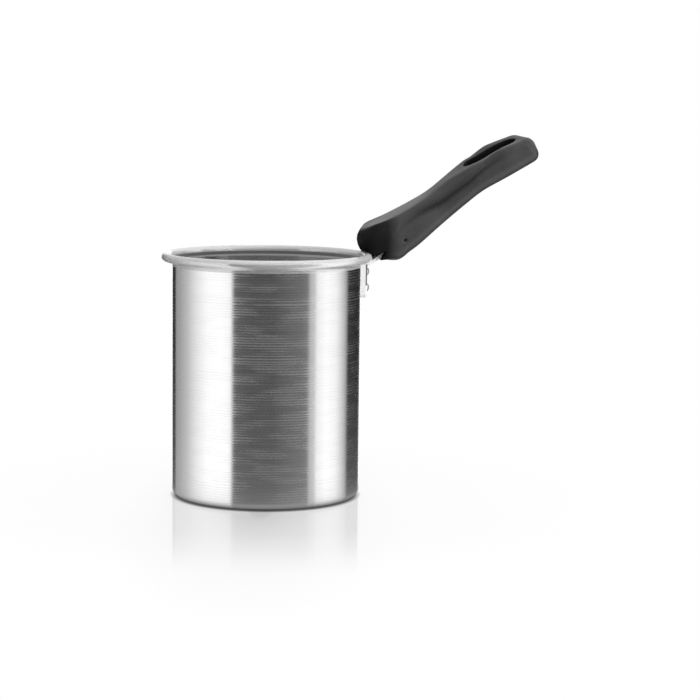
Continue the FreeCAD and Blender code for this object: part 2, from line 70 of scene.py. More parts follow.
# Studio
# A pale glossy table under a white tent, with three soft lamps. Dark cloths stand where the
# tent is open: towards the camera, and behind the pot at both sides.
def add(tree, kind, sockets=None, **settings):
    """A node with these settings, and in each named socket a value or what another node gives."""
    node = tree.nodes.new(kind)
    for name, value in settings.items():
        setattr(node, name, value)
    for name, value in (sockets or {}).items():
        if isinstance(value, bpy.types.Node):
            value = value.outputs[0]
        if isinstance(value, bpy.types.NodeSocket):
            tree.links.new(value, node.inputs[name])
        else:
            node.inputs[name].default_value = value
    return node


def maths(tree, operation, *values):
    return add(tree, "ShaderNodeMath", dict(enumerate(values)), operation=operation)


def vector_maths(tree, operation, *values):
    """A sum on vectors whose result is one number."""
    node = add(tree, "ShaderNodeVectorMath", dict(enumerate(values)), operation=operation)
    return node.outputs["Value"]


def mixed(tree, share, first, second):
    return add(tree, "ShaderNodeMixShader", {0: share, 1: first, 2: second})


def own_place(tree):
    """The place on the piece, in its own metres."""
    return add(tree, "ShaderNodeTexCoord").outputs["Object"]


def grey(bright):
    return (bright, bright, bright, 1)


def tone_ramp(tree, value, stops):
    """A ramp of greys, from places along it and how bright each is."""
    ramp = add(tree, "ShaderNodeValToRGB", {"Fac": value})
    elements = ramp.color_ramp.elements
    for place, _ in stops[2:]:
        elements.new(place)
    for element, (place, bright) in zip(elements, stops):
        element.position = place
        element.color = grey(bright)
    return ramp


def new_material(name):
    """A material and its tree, still empty."""
    material = bpy.data.materials.new(name)
    material.use_nodes = True
    material.node_tree.nodes.clear()
    return material, material.node_tree


def add_mesh(name, points, faces, uvs=None):
    mesh = bpy.data.meshes.new(name)
    mesh.from_pydata([tuple(point) for point in points], [], faces)
    if uvs:
        layer = mesh.uv_layers.new(name="around")
        for loop in mesh.loops:
            layer.data[loop.index].uv = uvs[loop.vertex_index]
    thing = bpy.data.objects.new(name, mesh)
    bpy.context.collection.objects.link(thing)
    return thing


world = bpy.data.worlds.new("white_tent")
bpy.context.scene.world = world
world.use_nodes = True
tree = world.node_tree
tree.nodes.clear()
rays = add(tree, "ShaderNodeLightPath").outputs
seen = maths(tree, "MAXIMUM", rays["Is Camera Ray"], rays["Is Glossy Ray"])
shown = maths(tree, "MAXIMUM", seen, rays["Is Transmission Ray"])
tent_light = add(tree, "ShaderNodeBackground", {"Color": grey(0.35)})
tent_white = add(tree, "ShaderNodeBackground", {"Color": grey(1)})
tent = mixed(tree, shown, tent_light, tent_white)
add(tree, "ShaderNodeOutputWorld", {"Surface": tent})

TABLE_REACH = 4.0
# how white the table is from the middle of the soft shadow outwards, and how polished it is
# from the pot's axis outwards
TABLE_LIT = [
    (0.0, 0.42),
    (0.05, 0.40),
    (0.08, 0.46),
    (0.105, 0.60),
    (0.37, 0.80),
    (0.73, 0.92),
    (1.0, 1.0),
]
POLISH_REACH = 0.4
TABLE_POLISH = [
    (0.12, 0.24),
    (0.27, 0.24),
    (0.36, 0.15),
    (0.42, 0.06),
    (0.49, 0.0),
]
SHADOW_MIDDLE = (0, -0.045, 0)
SHADOW_SIZE = (0.075, 0.24, 1)
TOUCH_MIDDLE = (0, -0.0032, 0)
TOUCH_START = 0.0476
TOUCH_END = 0.0512
table = add_mesh(
    "table",
    [
        (-TABLE_REACH, -TABLE_REACH, 0),
        (TABLE_REACH, -TABLE_REACH, 0),
        (TABLE_REACH, TABLE_REACH, 0),
        (-TABLE_REACH, TABLE_REACH, 0),
    ],
    [(0, 1, 2, 3)],
)
table_top, tree = new_material("table_top")
own = own_place(tree)
rays = add(tree, "ShaderNodeLightPath").outputs
# the soft shadow lies in front of the pot, long towards the camera
long_shadow = add(
    tree,
    "ShaderNodeMapping",
    {
        "Vector": own,
        "Location": from_photo @ Vector(SHADOW_MIDDLE),
        "Rotation": (0, 0, -HANDLE_TURN),
        "Scale": SHADOW_SIZE,
    },
    vector_type="TEXTURE",
)
lit = tone_ramp(tree, vector_maths(tree, "LENGTH", long_shadow), TABLE_LIT)
pale = add(tree, "ShaderNodeBsdfDiffuse", {"Color": grey(0.60)})
white = add(tree, "ShaderNodeEmission", {"Strength": 1.0})
backdrop = maths(tree, "MULTIPLY", rays["Is Camera Ray"], lit)
face = mixed(tree, backdrop, pale, white)
# the polish shows round the pot and is lost further off
far = maths(tree, "DIVIDE", vector_maths(tree, "LENGTH", own), POLISH_REACH)
gloss = add(tree, "ShaderNodeBsdfGlossy", {"Roughness": 0.06})
surface = mixed(tree, tone_ramp(tree, far, TABLE_POLISH), face, gloss)
# next to no light gets in where the pot almost touches the table
touch = add(tree, "ShaderNodeMapRange", {
    "Value": vector_maths(tree, "DISTANCE", own, from_photo @ Vector(TOUCH_MIDDLE)),
    "From Min": TOUCH_START,
    "From Max": TOUCH_END,
    "To Min": 0.12,
})
dark = add(tree, "ShaderNodeBsdfDiffuse", {"Color": grey(0.04)})
add(tree, "ShaderNodeOutputMaterial", {"Surface": mixed(tree, touch, dark, surface)})
table.data.materials.append(table_top)

# how bright the tent and the cloths are round the pot, in degrees from the camera's side,
# with the left negative
CLOTHS = [
    (-180, 1.2),
    (-165, 1.2),
    (-164, 0.02),
    (-145, 0.02),
    (-142, 0.30),
    (-128, 0.34),
    (-110, 0.50),
    (-91, 0.82),
    (-74, 1.04),
    (-56, 1.07),
    (-42, 1.0),
    (-37.5, 0.065),
    (-15, 0.042),
    (10, 0.045),
    (24, 0.072),
    (44, 0.108),
    (53.5, 0.14),
    (56.5, 0.46),
    (63, 0.52),
    (66, 0.88),
    (80, 1.06),
    (96, 0.95),
    (112, 0.50),
    (117, 0.30),
    (120, 0.02),
    (150, 0.01),
    (163, 0.05),
    (165, 1.2),
    (180, 1.2),
]
# the cloths lie on the table from the pot outwards, hang, and close overhead: reach, height,
# how much of the tone is kept there, and how much light is spread over it
CLOTH_LIFT = 0.0002
CLOTH_RINGS = [
    # nearest the pot, out to about 66 mm, the cloths keep little of their tone: painted shade
    # where the pot meets the table, which its base corner reflects
    (0.0477, CLOTH_LIFT, 0.0, 0.08),
    (0.0485, CLOTH_LIFT, 0.05, 0.18),
    (0.0503, CLOTH_LIFT, 0.22, 0.24),
    (0.0525, CLOTH_LIFT, 0.38, 0.25),
    (0.057, CLOTH_LIFT, 0.55, 0.18),
    (0.066, CLOTH_LIFT, 0.86, 0.11),
    (0.12, CLOTH_LIFT, 1.0, 0.07),
    (0.25, CLOTH_LIFT, 1.0, 0.035),
    (0.6, CLOTH_LIFT, 1.0, 0.01),
    (1.4, CLOTH_LIFT, 1.0, 0.0),
    (3.0, CLOTH_LIFT, 1.0, 0.0),
    (3.0, 0.25, 0.97, 0.03),
    (3.0, 0.6, 0.87, 0.13),
    (3.0, 1.2, 0.15, 0.56),
    (3.0, 2.4, 0.05, 0.63),
    (1.5, 3.2, 0.0, 0.64),
    (0.0, 3.4, 0.0, 0.64),
]
CLOTH_STEPS = 240
# the edges of the cloths run along what the pot's wall reflects, so they stand upright in it
LENS_SIDE = math.radians(2.3)
POT_RADIUS = 0.050
points = []
uvs = []
last_ring = len(CLOTH_RINGS) - 1
for i in range(CLOTH_STEPS + 1):
    share = i / CLOTH_STEPS
    angle = 2 * math.pi * share - math.pi
    leaving = Vector((math.sin(angle), -math.cos(angle)))
    normal = (angle + LENS_SIDE) / 2
    start = Vector((math.sin(normal), -math.cos(normal))) * POT_RADIUS
    along = start.dot(leaving)
    for j, (reach, height, _, _) in enumerate(CLOTH_RINGS):
        if reach > POT_RADIUS:
            run = math.sqrt(along ** 2 + reach ** 2 - POT_RADIUS ** 2) - along
            spot = start + leaving * run
        else:
            spot = start * (reach / POT_RADIUS)
        points.append(from_photo @ Vector((spot.x, spot.y, height)))
        uvs.append((share, j / last_ring))
faces = []
for i in range(CLOTH_STEPS):
    for j in range(last_ring):
        a = i * len(CLOTH_RINGS) + j
        b = a + len(CLOTH_RINGS)
        faces.append((a, a + 1, b + 1, b))
cloths = add_mesh("cloths", points, faces, uvs)
cloth_tones, tree = new_material("cloth_tones")
place = add(tree, "ShaderNodeUVMap", uv_map="around")
split = add(tree, "ShaderNodeSeparateXYZ", {0: place}).outputs
tones = [((degrees + 180) / 360, bright) for degrees, bright in CLOTHS]
kept = [(j / last_ring, ring[2]) for j, ring in enumerate(CLOTH_RINGS)]
haze = [(j / last_ring, ring[3]) for j, ring in enumerate(CLOTH_RINGS)]
tone = maths(
    tree,
    "MULTIPLY_ADD",
    tone_ramp(tree, split["X"], tones),
    tone_ramp(tree, split["Y"], kept),
    tone_ramp(tree, split["Y"], haze),
)
glow = add(tree, "ShaderNodeEmission", {"Strength": tone})
# from below they aren't there, so the table shows the white behind them
behind = add(tree, "ShaderNodeNewGeometry").outputs["Backfacing"]
clear = add(tree, "ShaderNodeBsdfTransparent")
add(tree, "ShaderNodeOutputMaterial", {"Surface": mixed(tree, behind, glow, clear)})
cloths.data.materials.append(cloth_tones)
cloths.visible_camera = False
cloths.visible_diffuse = False
cloths.visible_shadow = False
cloths.visible_transmission = False

# name, place, width and power of each lamp
LAMPS = [
    ("lamp_left", (-1.5, 0.4, 1.1), 0.9, 2.0),
    ("lamp_right", (1.5, -0.9, 0.7), 0.9, 28.0),
    ("lamp_above", (0.2, 0.8, 1.9), 1.4, 26.0),
]
LAMP_AIM = Vector((0, 0, 0.08))
for name, place, width, power in LAMPS:
    lamp_data = bpy.data.lights.new(name, "AREA")
    lamp_data.size = width
    lamp_data.energy = power
    lamp = bpy.data.objects.new(name, lamp_data)
    lamp.location = from_photo @ Vector(place)
    lamp.rotation_euler = (LAMP_AIM - lamp.location).to_track_quat("-Z", "Y").to_euler()
    lamp.visible_glossy = False
    bpy.context.collection.objects.link(lamp)


# Pot
# Spun from one disc of aluminium: a flat base, a straight wall, and a rim that leans out
# and curls over into a hollow bead. It is left as turned, with fine rings from the tool.
def arc(centre, radius, start, end, steps):
    """Points along an arc of the section, from one angle to another in degrees."""
    found = []
    for i in range(steps + 1):
        angle = math.radians(start + (end - start) * i / steps)
        found.append((centre[0] + radius * math.cos(angle), centre[1] + radius * math.sin(angle)))
    return found


def straight(start, end, steps):
    """Points along a straight run, without its two ends."""
    return [
        (
            start[0] + (end[0] - start[0]) * i / steps,
            start[1] + (end[1] - start[1]) * i / steps,
        )
        for i in range(1, steps)
    ]


WALL = 0.001
POT_HEIGHT = 0.129
BASE = 0.0015
BASE_CORNER = 0.0035
BEAD = 0.00225
BEAD_REACH = 0.00345
BEAD_CENTRE = (POT_RADIUS + BEAD_REACH, POT_HEIGHT - BEAD)
CURL_END = -132
NECK_BEND = 0.001
NECK_LAP = 0.0001
HALF_BEND = math.tan(math.radians(22.5))
STEPS_ROUND = 192
SAME_PLACE = 0.000002

inner_radius = POT_RADIUS - WALL
neck_inside = BEAD_CENTRE[0] - BEAD
neck_outside = neck_inside + WALL
mitre = WALL * HALF_BEND
tight = NECK_BEND
wide = NECK_BEND + WALL
neck_top = BEAD_CENTRE[1] - wide * HALF_BEND + mitre - NECK_LAP
neck_foot = neck_top - (neck_inside - inner_radius)
flare_start = neck_foot - mitre - tight * HALF_BEND
flare_end = neck_top - mitre + wide * HALF_BEND
inner_flare = neck_foot - wide * HALF_BEND

outer_skin = [(0.0, 0.0)] + straight((0, 0), (POT_RADIUS - BASE_CORNER, 0), 12)
outer_skin += arc((POT_RADIUS - BASE_CORNER, BASE_CORNER), BASE_CORNER, -90, 0, 10)
outer_skin += straight((POT_RADIUS, BASE_CORNER), (POT_RADIUS, flare_start), 14)
outer_skin += arc((POT_RADIUS + tight, flare_start), tight, 180, 135, 5)
outer_skin += arc((neck_outside - wide, flare_end), wide, -45, 0, 6)
outer_skin += arc(BEAD_CENTRE, BEAD - WALL, 180, CURL_END, 30)
# the cut edge of the curl is rounded
lip = arc(BEAD_CENTRE, BEAD - WALL / 2, CURL_END, CURL_END, 1)[0]
outer_skin += arc(lip, WALL / 2, CURL_END + 180, CURL_END, 6)[1:-1]

inner_skin = arc(BEAD_CENTRE, BEAD, CURL_END, 180, 48)
inner_skin += arc((neck_inside - tight, neck_top + tight * HALF_BEND), tight, 0, -45, 5)
inner_skin += arc((inner_radius + wide, inner_flare), wide, 135, 180, 6)
corner = BASE_CORNER - WALL
inner_skin += straight((inner_radius, inner_flare), (inner_radius, BASE + corner), 14)
inner_skin += arc((inner_radius - corner, BASE + corner), corner, 0, -90, 8)
inner_skin += straight((inner_radius - corner, BASE), (0, BASE), 12) + [(0.0, BASE)]
# drawn from the inside outwards, so that the turned faces point out of the metal
pot_section = (outer_skin + inner_skin)[::-1]


def tree_inputs(tree, sizes):
    """Gives a tree its named inputs and returns what they hold."""
    for name, kind, value in sizes:
        socket = tree.interface.new_socket(name=name, in_out="INPUT", socket_type=kind)
        if value is not None:
            socket.default_value = value
    tree.interface.new_socket(name="Geometry", in_out="OUTPUT", socket_type="NodeSocketGeometry")
    return add(tree, "NodeGroupInput").outputs


def end_tree(tree, geometry, metal):
    """Ends a tree: shaded smooth, made real and given its metal."""
    smooth = add(tree, "GeometryNodeSetShadeSmooth", {"Geometry": geometry})
    real = add(tree, "GeometryNodeRealizeInstances", {0: smooth})
    dressed = add(tree, "GeometryNodeSetMaterial", {"Geometry": real, "Material": metal})
    add(tree, "NodeGroupOutput", {0: dressed})


def keep_result(thing):
    """Leaves what the modifiers make of a piece as its plain mesh."""
    bpy.context.view_layer.update()
    evaluated = thing.evaluated_get(bpy.context.evaluated_depsgraph_get())
    mesh = bpy.data.meshes.new_from_object(evaluated)
    thing.modifiers.clear()
    mesh.name = thing.name
    thing.data = mesh


def run_tree(thing, tree, sizes):
    """Runs a tree on a piece with these sizes."""
    modifier = thing.modifiers.new("shape", "NODES")
    modifier.node_group = tree
    for item in tree.interface.items_tree:
        if item.in_out == "INPUT" and item.name in sizes:
            modifier[item.identifier] = sizes[item.name]
    keep_result(thing)


# the lathe: each point of the section goes once round the pot's axis
lathe = bpy.data.node_groups.new("lathe", "GeometryNodeTree")
given = tree_inputs(lathe, [
    ("Section", "NodeSocketGeometry", None),
    ("Steps round", "NodeSocketInt", STEPS_ROUND),
    ("Metal", "NodeSocketMaterial", None),
])
count = add(
    lathe,
    "GeometryNodeAttributeDomainSize",
    {0: given["Section"]},
    component="MESH",
).outputs["Point Count"]
rows = maths(lathe, "ADD", given["Steps round"], 1)
sheet = add(
    lathe,
    "GeometryNodeMeshGrid",
    {"Size X": 1, "Size Y": 1, "Vertices X": count, "Vertices Y": rows},
)
number = add(lathe, "GeometryNodeInputIndex")
column = maths(lathe, "FLOOR", maths(lathe, "DIVIDE", number, rows))
row = maths(lathe, "SUBTRACT", number, maths(lathe, "MULTIPLY", column, rows))
sample = add(
    lathe,
    "GeometryNodeSampleIndex",
    {
        "Geometry": given["Section"],
        "Value": add(lathe, "GeometryNodeInputPosition"),
        "Index": column,
    },
    data_type="FLOAT_VECTOR",
    domain="POINT",
)
turned = maths(lathe, "DIVIDE", row, given["Steps round"])
spin = add(
    lathe,
    "ShaderNodeVectorRotate",
    {"Vector": sample, "Angle": maths(lathe, "MULTIPLY", turned, 2 * math.pi)},
    rotation_type="Z_AXIS",
)
put = add(lathe, "GeometryNodeSetPosition", {"Geometry": sheet, "Position": spin})
closed = add(lathe, "GeometryNodeMergeByDistance", {"Geometry": put, "Distance": SAME_PLACE})
end_tree(lathe, closed, given["Metal"])


def fine_noise(tree, vector, scale, detail):
    """Cloudy marks, from 0 to 1, of which so many fit in a metre."""
    noise = add(tree, "ShaderNodeTexNoise", {"Vector": vector, "Scale": scale, "Detail": detail})
    return noise.outputs["Fac"]


def spread(tree, value, low, high):
    """The value, from 0 to 1, made to run from low to high."""
    return add(tree, "ShaderNodeMapRange", {"Value": value, "To Min": low, "To Max": high})


def between(tree, value, start, end, low=0.0, high=1.0):
    """The value between start and end, eased, made to run from low to high."""
    return add(
        tree,
        "ShaderNodeMapRange",
        {"Value": value, "From Min": start, "From Max": end, "To Min": low, "To Max": high},
        interpolation_type="SMOOTHSTEP",
    )


def product(tree, first, *others):
    for other in others:
        first = maths(tree, "MULTIPLY", first, other)
    return first


def most(tree, first, *others):
    for other in others:
        first = maths(tree, "MAXIMUM", first, other)
    return first


def tint(tree, value, dark, light):
    """A colour that runs from dark to light with the value."""
    ramp = add(tree, "ShaderNodeValToRGB", {"Fac": value})
    ramp.color_ramp.elements[0].color = (*dark, 1)
    ramp.color_ramp.elements[1].color = (*light, 1)
    return ramp


def stretched(tree, vector, scale):
    """A place whose three directions are scaled, so that marks can be long one way."""
    return add(tree, "ShaderNodeMapping", {"Vector": vector, "Scale": scale})


TOOL_STEP = 0.00132
TOOL_WANDER = 9.0
CREASE_REACH = 0.0514
# the heights between which each mark on the wall sets in or fades
CREASE_STARTS = (0.1239, 0.1247)
CREASE_ENDS = (0.1268, 0.1260)
BAND_STARTS = (0.1190, 0.1215)
BEAD_OUTSIDE = (0.1240, 0.1262)
BEAD_INSIDE = (0.1256, 0.1271)
NECK_STARTS = (0.1218, 0.1225)
WEAR_ENDS = (0.1245, 0.1238)

spun_aluminium, tree = new_material("spun_aluminium")
own = own_place(tree)
axes = add(tree, "ShaderNodeSeparateXYZ", {0: own}).outputs
height = axes["Z"]
flat = add(tree, "ShaderNodeCombineXYZ", {"X": axes["X"], "Y": axes["Y"]})
reach = vector_maths(tree, "LENGTH", flat)
# a ring of the tool has the same radius and height all the way round, and is stronger in
# some patches than in others
ring = add(tree, "ShaderNodeCombineXYZ", {"X": reach, "Z": height})
wander = maths(tree, "MULTIPLY", fine_noise(tree, ring, 160, 1), TOOL_WANDER)
turns = maths(tree, "MULTIPLY", height, 2 * math.pi / TOOL_STEP)
wave = maths(tree, "SINE", maths(tree, "ADD", turns, wander))
rings = maths(tree, "MULTIPLY_ADD", wave, 0.5, 0.5)
patches = fine_noise(tree, stretched(tree, own, (45, 45, 200)), 1, 1)
strength = between(tree, patches, 0.40, 0.60, 0.28, 1.0)
faint = between(tree, fine_noise(tree, ring, 700, 1), 0.34, 0.66, 0.0, 0.2)
tooling = maths(tree, "ADD", product(tree, rings, strength), faint)
# inside, the metal is painted darker in the crease under the bead, and the wall below it less so:
# painted shade under the curl of the bead
normal = add(tree, "ShaderNodeNewGeometry").outputs["Normal"]
faces_in = maths(tree, "LESS_THAN", vector_maths(tree, "DOT_PRODUCT", normal, flat), 0.0)
crease = between(tree, height, *CREASE_STARTS)
band = between(tree, height, *BAND_STARTS, 0.0, 0.72)
below_bead = product(
    tree,
    between(tree, height, *CREASE_ENDS),
    maths(tree, "LESS_THAN", reach, CREASE_REACH),
)
shade_under_bead = product(tree, most(tree, crease, band), below_bead, faces_in, 0.86)
around = add(tree, "ShaderNodeTangent", direction_type="RADIAL", axis="Z")
metal = add(tree, "ShaderNodeBsdfPrincipled", {
    "Metallic": 1,
    "Base Color": spread(tree, shade_under_bead, 0.95, 0.0),
    "Roughness": spread(tree, tooling, 0.15, 0.295),
    "Anisotropic": 0.93,
    "Anisotropic Rotation": 0.25,
    "Tangent": around,
})
# the torn edges of the marks are matt, and so are the bead and the neck, which were bent by
# hand tools, and the patches inside that are worn by stirring
matt = add(tree, "ShaderNodeBsdfDiffuse", {"Color": (0.68, 0.68, 0.69, 1)})
outside = maths(tree, "SUBTRACT", 1.0, faces_in)
bead_outside = product(tree, between(tree, height, *BEAD_OUTSIDE, 0.0, 0.48), outside)
bead_inside = product(tree, between(tree, height, *BEAD_INSIDE, 0.0, 0.48), faces_in)
on_neck = product(tree, between(tree, height, *NECK_STARTS, 0.0, 0.50), outside)
wear = fine_noise(tree, stretched(tree, own, (38, 38, 60)), 1, 1)
worn = product(
    tree,
    between(tree, wear, 0.42, 0.62, 0.02, 0.15),
    between(tree, height, *WEAR_ENDS),
    faces_in,
)
scratched = spread(tree, tooling, 0.0, 0.02)
handled = most(tree, bead_outside, bead_inside, on_neck, worn, scratched)
add(tree, "ShaderNodeOutputMaterial", {"Surface": mixed(tree, handled, metal, matt)})

section_mesh = bpy.data.meshes.new("pot_section")
section_mesh.from_pydata(
    [(radius, 0, height) for radius, height in pot_section],
    [(i, i + 1) for i in range(len(pot_section) - 1)],
    [],
)
pot = bpy.data.objects.new("spun_pot", section_mesh)
bpy.context.collection.objects.link(pot)
run_tree(pot, lathe, {"Steps round": STEPS_ROUND, "Metal": spun_aluminium})
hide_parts("pot_body")
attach(pot, "root")


# Handle bracket
# Pressed from bright steel sheet. It is riveted under the rim and its tang runs up into
# the handle, so it keeps the shape of the model and gets the marks of the press.
def bumped(tree, height, strength, distance):
    return add(
        tree,
        "ShaderNodeBump",
        {"Height": height, "Strength": strength, "Distance": distance},
    )


def dress_node(name, material):
    """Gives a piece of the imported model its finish."""
    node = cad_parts[name]
    if node.material_slots:
        for held in node.material_slots:
            held.material = material
    else:
        node.data.materials.append(material)


# where the painted shade along the plate's outer edge starts and stops, outwards and upwards
EDGE_SHADE_STARTS = (0.0521, 0.0523)
EDGE_SHADE_ENDS = (0.05315, 0.0530)
EDGE_SHADE_FOOT = (0.1110, 0.1120)
EDGE_SHADE_HEAD = (0.1235, 0.1225)

pressed_steel, tree = new_material("pressed_steel")
own = own_place(tree)
scuffs = fine_noise(tree, own, 260, 4)
grain = fine_noise(tree, own, 2600, 2)
marks = maths(tree, "DIVIDE", maths(tree, "ADD", scuffs, grain), 2.0)
metal = add(tree, "ShaderNodeBsdfPrincipled", {
    "Metallic": 1,
    "Base Color": tint(tree, marks, (0.72, 0.73, 0.75), (0.94, 0.94, 0.95)),
    "Roughness": spread(tree, scuffs, 0.20, 0.42),
    "Normal": bumped(tree, marks, 0.25, 0.00003),
})
# the zinc has gone matt in the open; below the tang a dark line is painted along the plate's
# outer edge as shade
axes = add(tree, "ShaderNodeSeparateXYZ", {0: own}).outputs
edge_shade = product(
    tree,
    between(tree, axes["X"], *EDGE_SHADE_STARTS),
    between(tree, axes["X"], *EDGE_SHADE_ENDS),
    between(tree, axes["Z"], *EDGE_SHADE_HEAD),
    between(tree, axes["Z"], *EDGE_SHADE_FOOT),
)
zinc_and_shade_tone = tint(tree, edge_shade, (0.94, 0.94, 0.94), (0.05, 0.05, 0.05))
zinc = add(tree, "ShaderNodeBsdfDiffuse", {"Color": zinc_and_shade_tone})
skin = mixed(tree, spread(tree, marks, 0.70, 0.98), metal, zinc)
add(tree, "ShaderNodeOutputMaterial", {"Surface": skin})
dress_node("handle_bracket", pressed_steel)


# Rivets
# Two soft aluminium rivets, domed outside and hammered flat inside the pot, as the model
# sets them. Each is made by the same tree from the sizes of its head, shank and tail.
RIVET_TAIL = 0.003
RIVET_SEAT = 0.00002
WEB_STANDOFF = 0.0033
RIVET_FACETS = 40
RIVETS = [
    ("rivet_near_rim", "rivet_upper", POT_HEIGHT - 0.0104),
    ("rivet_below", "rivet_lower", POT_HEIGHT - 0.019),
]
rivet_tree = bpy.data.node_groups.new("set_rivet", "GeometryNodeTree")
given = tree_inputs(rivet_tree, [
    ("Geometry", "NodeSocketGeometry", None),
    ("Shank radius", "NodeSocketFloat", 0.0016),
    ("Head radius", "NodeSocketFloat", 0.0028),
    ("Head height", "NodeSocketFloat", 0.0026),
    ("Tail radius", "NodeSocketFloat", RIVET_TAIL),
    ("Tail height", "NodeSocketFloat", 0.0008),
    ("Inside", "NodeSocketFloat", 0.0489),
    ("Outside", "NodeSocketFloat", 0.0533),
    ("Height", "NodeSocketFloat", 0.1),
    ("Metal", "NodeSocketMaterial", None),
])


def at(x, y, z):
    return add(rivet_tree, "ShaderNodeCombineXYZ", {0: x, 1: y, 2: z})


def moved(geometry, **change):
    return add(rivet_tree, "GeometryNodeTransform", {"Geometry": geometry, **change})


# the head is the upper half of a ball, closed by a disc
ball = add(
    rivet_tree,
    "GeometryNodeMeshUVSphere",
    {"Segments": RIVET_FACETS, "Rings": 24, "Radius": 1},
)
where = add(rivet_tree, "GeometryNodeInputPosition")
split = add(rivet_tree, "ShaderNodeSeparateXYZ", {0: where}).outputs
level = maths(rivet_tree, "MAXIMUM", split["Z"], 0.0)
flattened = add(
    rivet_tree,
    "GeometryNodeSetPosition",
    {"Geometry": ball, "Position": at(split["X"], split["Y"], level)},
)
head = moved(
    flattened,
    Translation=at(0, 0, given["Outside"]),
    Scale=at(given["Head radius"], given["Head radius"], given["Head height"]),
)
shank_length = maths(rivet_tree, "SUBTRACT", given["Outside"], given["Inside"])
shank = add(
    rivet_tree,
    "GeometryNodeMeshCylinder",
    {"Vertices": RIVET_FACETS, "Radius": given["Shank radius"], "Depth": shank_length},
)
half_length = maths(rivet_tree, "DIVIDE", shank_length, 2.0)
middle = maths(rivet_tree, "ADD", given["Inside"], half_length)
body = moved(shank, Translation=at(0, 0, middle))
half_tail = maths(rivet_tree, "DIVIDE", given["Tail height"], 2.0)
disc = add(
    rivet_tree,
    "GeometryNodeMeshCone",
    {
        "Vertices": RIVET_FACETS,
        "Radius Top": given["Tail radius"],
        "Radius Bottom": maths(rivet_tree, "SUBTRACT", given["Tail radius"], half_tail),
        "Depth": given["Tail height"],
    },
)
tail_end = maths(rivet_tree, "SUBTRACT", given["Inside"], given["Tail height"])
tail = moved(disc, Translation=at(0, 0, tail_end))
whole = add(rivet_tree, "GeometryNodeJoinGeometry")
for part in (head, body, tail):
    rivet_tree.links.new(part.outputs[0], whole.inputs[0])
laid = moved(whole, Rotation=(0, math.radians(90), 0))
raised = moved(laid, Translation=at(0, 0, given["Height"]))
end_tree(rivet_tree, raised, given["Metal"])

rivet_metal, tree = new_material("rivet_metal")
dents = fine_noise(tree, own_place(tree), 900, 3)
metal = add(tree, "ShaderNodeBsdfPrincipled", {
    "Metallic": 1,
    "Base Color": tint(tree, dents, (0.66, 0.66, 0.67), (0.88, 0.88, 0.88)),
    "Roughness": spread(tree, dents, 0.30, 0.50),
    "Normal": bumped(tree, dents, 0.5, 0.00008),
})
add(tree, "ShaderNodeOutputMaterial", {"Surface": metal})

for name, node, height in RIVETS:
    rivet = bpy.data.objects.new(name, bpy.data.meshes.new(name))
    bpy.context.collection.objects.link(rivet)
    run_tree(rivet, rivet_tree, {
        "Tail radius": RIVET_TAIL,
        "Inside": math.sqrt(inner_radius ** 2 - RIVET_TAIL ** 2) - RIVET_SEAT,
        "Outside": POT_RADIUS + WEB_STANDOFF + RIVET_SEAT,
        "Height": height,
        "Metal": rivet_metal,
    })
    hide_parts(node)
    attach(rivet, "root")


# Handle
# Moulded in black phenolic, in one piece, with a socket for the tang and a slot to hang it
# by. The model's solid is remeshed; the flat top gets its firmer edges, the sides their
# shallow valley and the slot its rounded mouth, and then everything is worn a little round.
WELD_DISTANCE = 0.000005
MESH_SIZE = 0.0005
SMOOTHINGS = 7

grip_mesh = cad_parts["handle_grip"].data.copy()
grip_mesh.name = "moulded_grip"
grip_mesh.transform(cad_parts["handle_grip"].matrix_world)
loose = bmesh.new()
loose.from_mesh(grip_mesh)
bmesh.ops.remove_doubles(loose, verts=loose.verts, dist=WELD_DISTANCE)
loose.to_mesh(grip_mesh)
loose.free()
grip_mesh.materials.clear()
grip = bpy.data.objects.new("moulded_grip", grip_mesh)
bpy.context.collection.objects.link(grip)
remesh = grip.modifiers.new("even_mesh", "REMESH")
remesh.mode = "VOXEL"
remesh.voxel_size = MESH_SIZE
remesh.use_smooth_shade = True
keep_result(grip)

